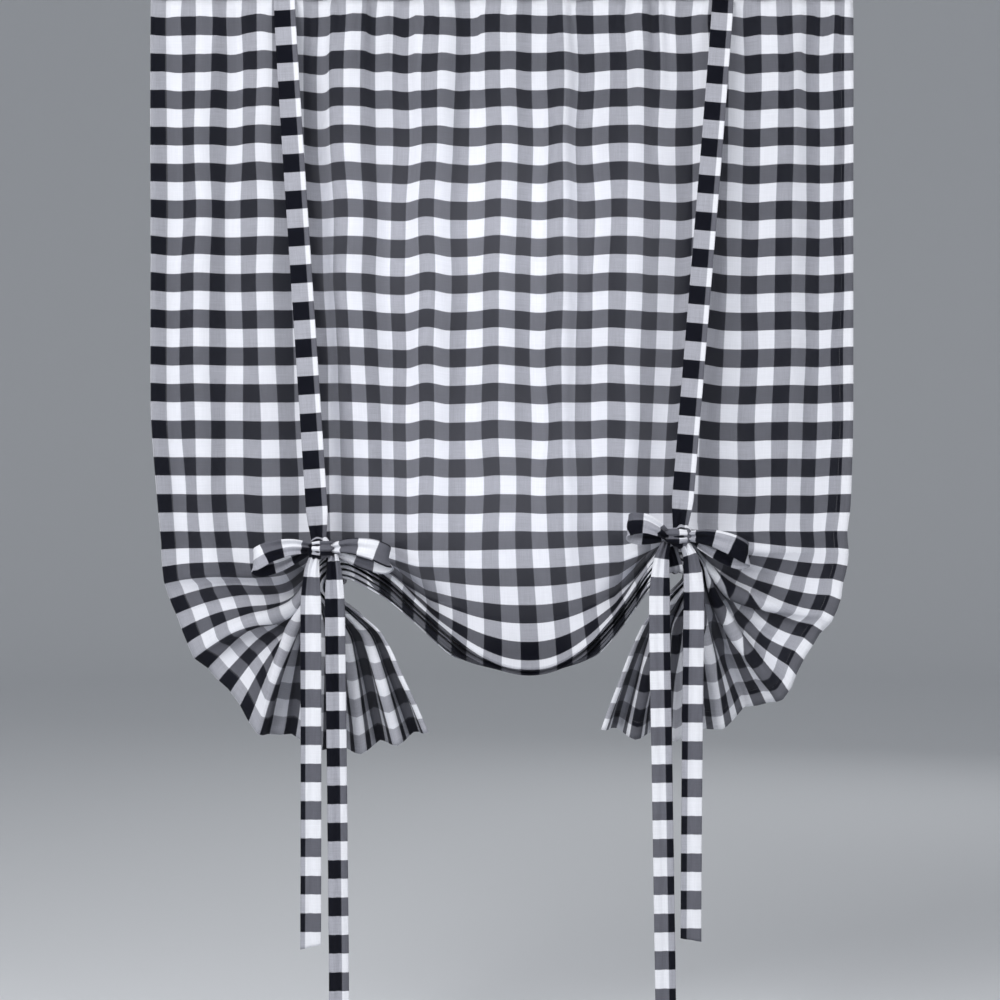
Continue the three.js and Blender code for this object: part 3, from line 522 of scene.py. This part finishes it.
def gingham(name, greys, lets_light, hems=None):
    """The woven cloth, with its two greys, the share of light it lets through, and its stitched hems."""
    material = bpy.data.materials.new(name)
    material.use_nodes = True
    tree = material.node_tree
    tree.nodes.clear()

    def node(kind, settings, inputs, output=0):
        return Socket.node(tree, kind, settings, inputs, output)

    threads = node("UVMap", {"uv_map": "threads"}, {})
    u = node("SeparateXYZ", {}, {0: threads}, 0)
    v = node("SeparateXYZ", {}, {0: threads}, 1)

    def yarn(place, seed):
        """Each yarn's number, and a random tone for it."""
        number = (place / YARN).maths("FLOOR")
        tone = node("TexWhiteNoise", {"noise_dimensions": "1D"}, {"W": number + seed})
        return number, tone

    def noise(across, down, size_u, size_v, detail=2.0):
        spot = node("CombineXYZ", {}, {0: u / size_u + across, 1: v / size_v + down, 2: 0.0})
        return node("TexNoise", {}, {"Vector": spot, "Scale": 1.0, "Detail": detail, "Roughness": 0.55})

    def dark_band(number, pitch, first):
        """1 where this yarn is dyed black: within a quarter of the repeat of a dark band's middle."""
        turns = (number * YARN - first) / pitch
        near = turns.maths("SUBTRACT", turns.maths("ROUND")).maths("ABSOLUTE")
        return 1 - near.step(0.245, 0.255)

    warp_number, warp_tone = yarn(u, 11.5)
    weft_number, weft_tone = yarn(v, 47.5)
    dark_warp = dark_band(warp_number, CHECK_WIDE, FIRST_COLUMN)
    dark_weft = dark_band(weft_number, CHECK_LONG, FIRST_ROW)
    colour = dark_weft.blend(dark_warp.blend(WHITE, greys[1]), dark_warp.blend(greys[0], BLACK))
    over = (u / YARN * math.pi).maths("SINE") * (v / YARN * math.pi).maths("SINE")
    crossing = (dark_warp - dark_weft).maths("ABSOLUTE")
    slubs = noise(0.0, 2.0, 0.0008, 0.03) + noise(5.0, 0.0, 0.03, 0.0008)
    wear = noise(1.0, 4.0, 0.05, 0.07, 4.0)
    tone = 0.92 + 0.04 * warp_tone + 0.04 * weft_tone + 0.16 * (slubs - 1) + 0.12 * (wear - 0.5)
    tone = tone + crossing * (0.16 * over + 0.3 * (slubs - 1))
    colour = node("Mix", {"data_type": "RGBA", "blend_type": "MULTIPLY"},
                  {0: 1.0, 6: colour, 7: node("CombineXYZ", {}, {0: tone, 1: tone, 2: tone})}, 2)

    height = 0.00005 * over + 0.00009 * (slubs - 1)
    thick = None
    if hems:
        edge = (u - hems["half"]).maths("ABSOLUTE")
        side_at, foot_at = hems["half"] - hems["wide"], hems["foot"] - hems["wide"]
        side_hem = edge.step(side_at - HEM_EDGE, side_at + HEM_EDGE)
        foot_hem = v.step(foot_at - HEM_EDGE, foot_at + HEM_EDGE)
        thick = side_hem.maths("MAXIMUM", foot_hem)
        side_line = (edge - (side_at + STITCH_IN)).maths("ABSOLUTE")
        foot_line = (v - (foot_at + STITCH_IN)).maths("ABSOLUTE")
        along = side_line.maths("LESS_THAN", foot_line)
        run = (along * v + (1 - along) * u) / STITCH_LONG
        dash = run.maths("FRACT").step(0.18, 0.3) * (1 - run.maths("FRACT").step(0.86, 0.98))
        line = 1 - side_line.maths("MINIMUM", foot_line).step(0.0002, 0.0006)
        stitch = line * dash
        colour = (stitch * 0.25).blend(colour, (0.4, 0.4, 0.43, 1))
        height = height + 0.00012 * thick - 0.00015 * line * (1 - dash)
    bump = node("Bump", {}, {"Strength": 0.8, "Distance": 1.0, "Height": height})

    cloth = tree.nodes.new("ShaderNodeBsdfPrincipled")
    cloth.inputs["Sheen Weight"].default_value = 0.03
    cloth.inputs["Sheen Roughness"].default_value = 0.5
    cloth.inputs["Specular IOR Level"].default_value = 0.06
    tree.links.new(colour.output, cloth.inputs["Base Color"])
    tree.links.new((0.95 - 0.12 * wear).output, cloth.inputs["Roughness"])
    tree.links.new(bump.output, cloth.inputs["Normal"])
    glow = node("BsdfTranslucent", {}, {"Color": (0.86, 0.87, 0.93, 1)})
    lets_through = lets_light * (1 - 0.13 * dark_warp - 0.13 * dark_weft)
    if thick:
        lets_through = lets_through * (1 - 0.3 * thick)
    both = node("MixShader", {}, {0: lets_through, 1: Socket(tree, cloth.outputs[0]), 2: glow})
    node("OutputMaterial", {}, {0: both})
    return material


valance.data.materials.append(gingham("panel_gingham", (WEFT_GREY, WARP_GREY), 0.27, dict(
    half=FLAT_WIDTH / 2000, wide=HEM / 1000, foot=PANEL_DROP / 1000)))
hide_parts("valance_panel")
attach(valance, "root")

# The rod pocket is the top of the same cloth, turned over to the back and stitched down along the seam, so
# that it makes a tube for a rod. It is pushed together on the rod, which puts it in small upright gathers.
POCKET_DEPTH = 28
SEAM_GAP = 0.35
POCKET_PUFF, POCKET_SLACK = 3.0, 1.2
pocket_u = np.linspace(0, FLAT_WIDTH, 437)[None, :]
turn = np.linspace(math.pi, 3 * math.pi, 57)[:, None]
half_high = (POCKET_HEIGHT - SEAM_GAP) / 2
gather = crumple(pocket_u, turn * 20, 11, 60, 3) + 0.5 * crumple(pocket_u, turn * 20, 31, 90, 23)
puff = POCKET_DEPTH / 2 - POCKET_SLACK + POCKET_PUFF * gather * abs(np.sin(turn)) ** 0.5
seam_y = flute(pocket_u) * flute_strength(0)
pocket_y = seam_y * (1 - np.cos(turn)) / 2 + puff * np.sin(turn)
over_rod = np.clip(np.cos(turn), 0, 1) ** 2
pocket_z = -half_high + (half_high - 0.5) * np.cos(turn) - (POCKET_SLACK - 1.1 * gather) * over_rod
pocket_x = mix(left_edge(0), right_edge(0), reach_at(pocket_u))
pocket = np.stack(np.broadcast_arrays(pocket_x, pocket_y, pocket_z), -1)
steps = np.linalg.norm(np.diff(pocket.mean(axis=1), axis=0), axis=1)
pocket_v = -np.r_[0, np.cumsum(steps)][:, None] * np.ones_like(pocket_u)
heading = cloth_object("rod_pocket_cloth", [
    (pocket[::-1], CLOTH * np.ones(pocket.shape[:2]), pocket_u * np.ones_like(turn), pocket_v[::-1])])
NO_FOOT = 2.0  # a foot hem this far down is past the cloth
heading.data.materials.append(gingham("pocket_gingham", (WEFT_GREY, WARP_GREY), 0.2, dict(
    half=FLAT_WIDTH / 2000, wide=HEM / 1000, foot=NO_FOOT)))
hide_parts("rod_pocket")
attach(heading, "root")

# Four ties, narrow strips of the same gingham with their edges turned in, are sewn into the seam: one in
# front of the panel and one behind it on each side. The back one comes under the caught-up cloth, crosses
# the front one and is tied with it in a small soft bow, with a loop and a hanging tail of each.
TIE_WIDTH = 27
TIE_EDGE, TIE_MIDDLE = 1.1, 0.75  # thickness
THROAT = 17  # width under the bundle
KNOT_Y, KNOT_WIDE, KNOT_DEEP, KNOT_HIGH = -56, 13, 8, 13
KNOT_RUN = 40  # of each front tie inside its knot
IN_FRONT, BEHIND = -44, 46
SEAM_Y = {"left": (-4.5, 1.0), "right": (-4.8, 2.6)}  # in front of the panel and behind it
LOOPS = {
    "front left": dict(reach=76, rise=-14, open=22, u=23.85, v=-16.4),
    "back left": dict(reach=78, rise=-10, open=22, u=35.8, v=9.1),
    "front right": dict(reach=80, rise=-22, open=20, u=14, v=9.6),
    "back right": dict(reach=52, rise=18, open=20, u=20, v=30),
}
TAILS = {
    "front left": dict(top=-239, end=-240, foot=-1243, wide=26, slant=-3, u=31.3, v=-8.5),
    "back left": dict(top=-209, end=-204, foot=-1352, wide=25, slant=0, u=19.8, v=11.6),
    "front right": dict(top=240, end=237, foot=-1234, wide=26, slant=2, u=29.9, v=3.3),
    "back right": dict(top=197, end=206, foot=-1356, wide=26, slant=0, u=-4.5, v=-24.5),
}
RUN_THREADS = {"left": (17, 4.8), "right": (17, 24)}
ACROSS = np.linspace(-1, 1, 15)
LEVEL, UPRIGHT = (1, 0, 0), (0, 0, 1)
STRIP_PLEATS = 4


def strip(rows, first_u, first_v, steps=None, slant=0, seed=1, soft=0.5, crush=0.42):
    """A strip along a line of (point, width there, direction of the width), pleated where it is crushed."""
    at = np.array([row[0] for row in rows], float)
    run = np.r_[0, np.cumsum(np.linalg.norm(np.diff(at, axis=0), axis=1))]
    place = np.linspace(0, run[-1], steps or int(max(24, run[-1] / 4)))
    centre = np.stack([through(run, at[:, k])(place) for k in range(3)], -1)
    wide = through(run, [row[1] for row in rows])(place)
    side = np.stack([np.interp(place, run, [row[2][k] for row in rows]) for k in range(3)], -1)
    ahead = np.gradient(centre, axis=0)
    ahead /= np.linalg.norm(ahead, axis=1, keepdims=True)
    side -= ahead * (side * ahead).sum(axis=1, keepdims=True)
    side /= np.linalg.norm(side, axis=1, keepdims=True)
    normal = np.cross(side, ahead)
    slack = np.sqrt(np.maximum(0, TIE_WIDTH ** 2 - wide ** 2)) / STRIP_PLEATS
    wave = np.cos(STRIP_PLEATS * math.pi * (ACROSS[None, :] + 1) / 2 + 0.5 * np.sin(place / 17)[:, None])
    lift = crush * slack[:, None] * wave
    lift = lift + soft * crumple(ACROSS[None, :] * 13, place[:, None], 14, 30, seed) - 0.5 * ACROSS[None, :] ** 2
    grid = centre[:, None] + side[:, None] * (ACROSS[None, :] * wide[:, None] / 2)[..., None]
    grid = grid + normal[:, None] * lift[..., None]
    end = smooth(place, run[-1] - 12, run[-1])[:, None]
    grid = grid + ahead[:, None] * (ACROSS[None, :] * slant * end)[..., None]
    edge = smooth(abs(ACROSS), 0.68, 0.8)[None, :] * np.ones_like(place)[:, None]
    u = first_u + ACROSS[None, :] * TIE_WIDTH / 2 + 0 * place[:, None]
    v = first_v + place[:, None] + 0 * ACROSS[None, :]
    return (grid, mix(TIE_MIDDLE, TIE_EDGE, edge), u, v), run[-1]


def hanging_run(start_x, start_y, end_x, end_y, end_z, first_u, first_v):
    """A tie's straight run from the seam, soon clear of the panel, narrowing at its end."""
    start_z = -POCKET_HEIGHT - SEAM_GAP
    rows = []
    for t in [0, 0.05, 0.15, 0.3, 0.45, 0.6, 0.72, 0.85, 0.94, 1]:
        leaving = math.sqrt(min(1, t * 4)) * 0.35
        y = mix(start_y, end_y, leaving + t * 0.65)
        rows.append(((mix(start_x, end_x, t), y, mix(start_z, end_z, t)), 18 if t == 1 else TIE_WIDTH, LEVEL))
    return strip(rows, first_u, first_v, seed=int(end_z) % 50)


def bow_loop(knot_x, knot_z, towards, reach, rise, open, u, v):
    """One loop of a bow: out from the knot, round its end and back."""
    lift = open / 2

    def at(share, forward, up):
        return (knot_x + towards * (KNOT_WIDE - 4 + reach * share), KNOT_Y + forward, knot_z + rise * share + up)

    return strip([
        (at(0, -2, 0), 12, UPRIGHT),
        (at(0.28, -9, lift * 0.5), 19, UPRIGHT),
        (at(0.62, -13, lift * 0.5), 25, UPRIGHT),
        (at(0.86, -9, 0), TIE_WIDTH, UPRIGHT),
        (at(0.93, -2, -rise * 0.03 - lift * 0.4), TIE_WIDTH, UPRIGHT),
        (at(0.84, 4, -lift), TIE_WIDTH, UPRIGHT),
        (at(0.6, 5.5, -lift), 24, UPRIGHT),
        (at(0.26, 4, -lift * 0.5), 17, UPRIGHT),
        (at(0, 2, 0), 10, UPRIGHT),
    ], u, v, steps=64, seed=int(reach), soft=2.8)


def tail(knot_z, start_x, top, end, foot, wide, slant, u, v):
    """One tail: crushed under the knot, soon at its full width, then straight down to a cut end."""
    start_z = knot_z - KNOT_HIGH + 5
    hang_y = IN_FRONT - 4
    return strip([
        ((start_x, KNOT_Y, start_z), 11, LEVEL),
        ((mix(start_x, top, 0.7), KNOT_Y - 3, start_z - 22), 19, LEVEL),
        ((top, KNOT_Y, start_z - 70), wide, LEVEL),
        ((mix(top, end, 0.4), hang_y, mix(start_z, foot, 0.45)), wide, LEVEL),
        ((mix(top, end, 0.8), hang_y + 3, mix(start_z, foot, 0.8)), wide, LEVEL),
        ((end, hang_y + 2, foot), wide, LEVEL),
    ], u, v, slant=slant, seed=int(-foot) % 40)


def knot_band(knot_x, knot_z):
    """The crossing itself: a short barrel of crushed cloth round the loops' roots."""
    turn = np.linspace(0, 2.1 * math.pi, 60)[:, None]
    across = np.linspace(-1, 1, 17)[None, :]
    round_off = np.sqrt(1 - (across * 0.86) ** 2) + 0.03 * np.cos(across * 7 + 1.5 * np.sin(turn))
    round_off = round_off + 0.17 * crumple(across * 13, turn * 9, 7, 11, int(-knot_z) % 30)
    y = KNOT_Y + KNOT_DEEP * round_off * np.cos(turn)
    z = knot_z + KNOT_HIGH * round_off * np.sin(turn)
    x = knot_x + KNOT_WIDE * across + 1.2 * np.sin(turn)
    grid = np.stack([x + 0 * y, y, z], -1)
    u = 20 + TIE_WIDTH / 2 * across + 0 * y
    return (grid, 0.8 * np.ones(y.shape), u, 9 * turn + 0 * y), KNOT_RUN


tie_gingham = gingham("tie_gingham", (TIE_WEFT_GREY, TIE_WARP_GREY), 0.15)
for name, side in SIDES.items():
    front_y, back_y = SEAM_Y[name]
    top_x, tie_x, knot_x, knot_z, out = (side[k] for k in ("seam_x", "tie_x", "knot_x", "knot_z", "out"))
    u, v = RUN_THREADS[name]
    front = [
        hanging_run(top_x, front_y, knot_x, KNOT_Y, knot_z + KNOT_HIGH - 4, u, v),
        knot_band(knot_x, knot_z),
        bow_loop(knot_x, knot_z, out, **LOOPS["front " + name]),
        tail(knot_z, knot_x + out * 5, **TAILS["front " + name]),
    ]
    throat_z = side["arch_z"] + 5
    cover_x = knot_x - out * (KNOT_WIDE + 2)
    under = strip([
        ((tie_x, BEHIND, throat_z + 14), 18, LEVEL),
        ((tie_x, BEHIND - 2, throat_z + 3), THROAT, LEVEL),
        ((tie_x, BEHIND - 12, throat_z), THROAT, LEVEL),
        ((tie_x, 0, throat_z - 1), THROAT, LEVEL),
        ((tie_x, IN_FRONT + 12, throat_z), THROAT, LEVEL),
        ((tie_x, IN_FRONT + 1, throat_z + 4), THROAT, LEVEL),
        ((mix(tie_x, cover_x, 0.6), IN_FRONT, mix(throat_z, knot_z, 0.6)), THROAT, LEVEL),
        ((cover_x, IN_FRONT - 3, knot_z - 2), 10, LEVEL),
    ], first_u=17, first_v=8, crush=0.2)
    cover = strip([
        ((cover_x, IN_FRONT - 2, knot_z), 15, UPRIGHT),
        ((cover_x - out * 2, KNOT_Y, knot_z), 17, UPRIGHT),
        ((cover_x, KNOT_Y - KNOT_DEEP, knot_z), 18, UPRIGHT),
        ((knot_x - out * 4, KNOT_Y - KNOT_DEEP - 1.7, knot_z), 18, UPRIGHT),
        ((knot_x + out * 8, KNOT_Y - KNOT_DEEP - 0.2, knot_z), 15, UPRIGHT),
    ], first_u=30, first_v=12, seed=9)
    back = [
        hanging_run(top_x, back_y, tie_x, BEHIND, throat_z + 8, first_u=17, first_v=12),
        under,
        cover,
        bow_loop(knot_x - out * 7, knot_z, -out, **LOOPS["back " + name]),
        tail(knot_z, knot_x - out * (KNOT_WIDE + 5), **TAILS["back " + name]),
    ]
    for place, parts in (("front", front), ("back", back)):
        tie = cloth_object(f"{place}_tie_{name}", [sheet for sheet, _ in parts])
        tie.data.materials.append(tie_gingham)
        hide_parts(f"tie_{place}_{name}")
        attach(tie, "root")
        length = sum(run for _, run in parts) / 1000

# The studio's plain pale floor is a round sheet of paper, well under the tails. It turns up far away on all
# sides, behind every camera, so that no horizon shows.
FLOOR_Z, FLOOR_FLAT, FLOOR_TURN, FLOOR_RISE, FLOOR_SIDES = -1.43, 7, 3, 7, 64
profile = [(FLOOR_FLAT * k / 4, 0) for k in range(1, 5)]
profile += [(FLOOR_FLAT + FLOOR_TURN * math.sin(a), FLOOR_TURN * (1 - math.cos(a)))
            for a in np.linspace(0, math.pi / 2, 13)[1:]]
profile += [(FLOOR_FLAT + FLOOR_TURN, FLOOR_RISE)]
corners, faces = [(0, 0, FLOOR_Z)], []
for ring, (radius, up) in enumerate(profile):
    for k in range(FLOOR_SIDES):
        turned = 2 * math.pi * k / FLOOR_SIDES
        corners.append((radius * math.cos(turned), radius * math.sin(turned), FLOOR_Z + up))
        here, after = 1 + ring * FLOOR_SIDES + k, 1 + ring * FLOOR_SIDES + (k + 1) % FLOOR_SIDES
        if ring == 0:
            faces.append((0, here, after))
        else:
            faces.append((here - FLOOR_SIDES, here, after, after - FLOOR_SIDES))
mesh = bpy.data.meshes.new("studio_floor")
mesh.from_pydata(corners, [], faces)
mesh.shade_smooth()
floor = bpy.data.objects.new("studio_floor", mesh)
bpy.context.collection.objects.link(floor)
paper = bpy.data.materials.new("studio_paper")
paper.use_nodes = True
paper.node_tree.nodes["Principled BSDF"].inputs["Base Color"].default_value = (0.72, 0.735, 0.76, 1)
paper.node_tree.nodes["Principled BSDF"].inputs["Roughness"].default_value = 0.95
mesh.materials.append(paper)

# Soft light comes from the front on both sides and a little from behind. Two weak lamps close behind the
# middle of the cloth are the daylight that shines through it.
LIGHTS = {
    "key": dict(at=(-1.7, -2.6, 0.9), aim=(0, 0, -0.6), size=(1.8, 1.8), power=106),
    "fill": dict(at=(2.2, -2.4, 0.1), aim=(0, 0, -0.6), size=(1.8, 1.8), power=41),
    "rear": dict(at=(1.3, 3.2, 0.7), aim=(0, 0, -0.6), size=(1.8, 1.8), power=13),
    "upper_daylight": dict(at=(-0.024, 0.12, -0.335), aim=(-0.024, 0, -0.335), size=(0.44, 0.22), power=0.88),
    "lower_daylight": dict(at=(-0.024, 0.12, -0.655), aim=(-0.024, 0, -0.655), size=(0.44, 0.2), power=0.8),
}
for name, light in LIGHTS.items():
    data = bpy.data.lights.new(name, "AREA")
    data.shape = "RECTANGLE"
    data.size, data.size_y = light["size"]
    data.energy = light["power"]
    lamp = bpy.data.objects.new(name, data)
    lamp.location = light["at"]
    lamp.rotation_euler = (Vector(light["aim"]) - Vector(light["at"])).to_track_quat("-Z", "Y").to_euler()
    lamp.visible_camera = False
    bpy.context.collection.objects.link(lamp)
world = bpy.data.worlds.new("studio_air")
world.use_nodes = True
world.node_tree.nodes["Background"].inputs["Color"].default_value = (0.93, 0.96, 1, 1)
world.node_tree.nodes["Background"].inputs["Strength"].default_value = 0.36
bpy.context.scene.world = world
bpy.context.scene.view_settings.view_transform = "Standard"

# The camera stands straight in front of the cloth and sees a square of this width there. The frame cuts
# off the pocket above and the ends of the two longer tails below.
CAMERA_AWAY, SEEN_WIDE, SENSOR = 3.0, 1.274, 36
camera = bpy.data.objects.new("camera", bpy.data.cameras.new("camera"))
camera.location = (-0.0025, -CAMERA_AWAY, -0.682)
camera.rotation_euler = (math.pi / 2, 0, 0)
camera.data.sensor_width = SENSOR
camera.data.lens = SENSOR * CAMERA_AWAY / SEEN_WIDE
bpy.context.collection.objects.link(camera)
bpy.context.scene.camera = camera
